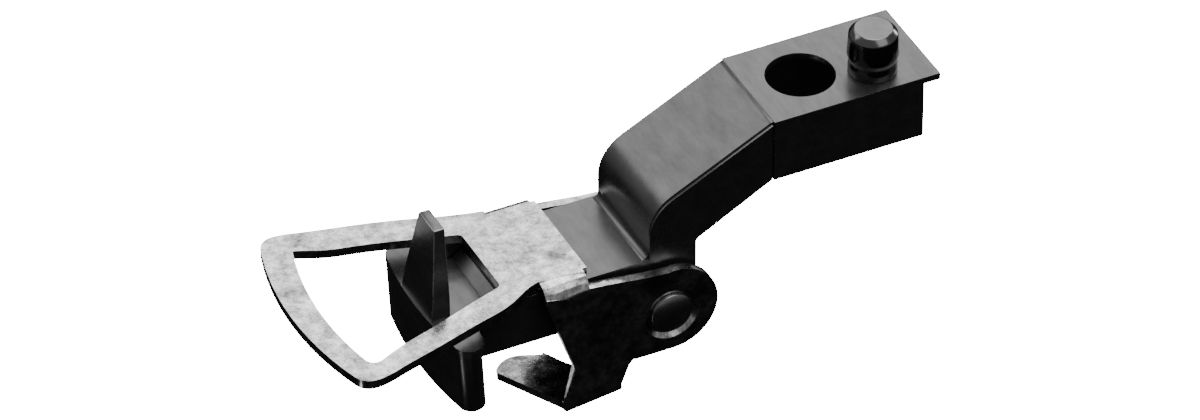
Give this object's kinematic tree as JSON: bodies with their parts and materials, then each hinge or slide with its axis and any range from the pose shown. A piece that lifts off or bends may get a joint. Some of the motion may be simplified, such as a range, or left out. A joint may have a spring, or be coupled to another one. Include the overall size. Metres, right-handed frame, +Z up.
{
  "type": "gravity latch coupling",
  "caption": "Folded sheet drawbar with a hook and bumper, and a pivoting plated loop that drops over a facing hook by its own weight; swivels on a holed plate.",
  "frame": {"origin": "centre of the swivel hole, on the mounting plate's top face", "axes": "-X towards the loop's front bar, +Z up along the swivel hole, -Y the side with the release foot's leg"},
  "size_m": [0.0275, 0.01, 0.0135],
  "materials": {
    "black_enamel": "satin stoved enamel on sheet steel",
    "black_peg": "semi-gloss black",
    "bright_plating": "mottled bright zinc plating",
    "rivet_steel": "blackened steel, glossy",
    "plain_steel": "plain turned steel"
  },
  "bodies": {
    "frame": {"drawbar_frame": "black_enamel", "head_plate": "black_enamel", "coupling_hook": "black_enamel", "pivot_rivet": "rivet_steel", "spacer_sleeve": "plain_steel", "guide_peg": "black_peg", "head_rivets": "plain_steel"},
    "bail": {"bail": "bright_plating"}
  },
  "joints": [
    {"name": "bail_pivot", "type": "hinge", "parent": "frame", "child": "bail", "pos_m": [-0.00711, 0, -0.00753], "axis": [0, 1, 0], "range_deg": [0, 34]}
  ]
}
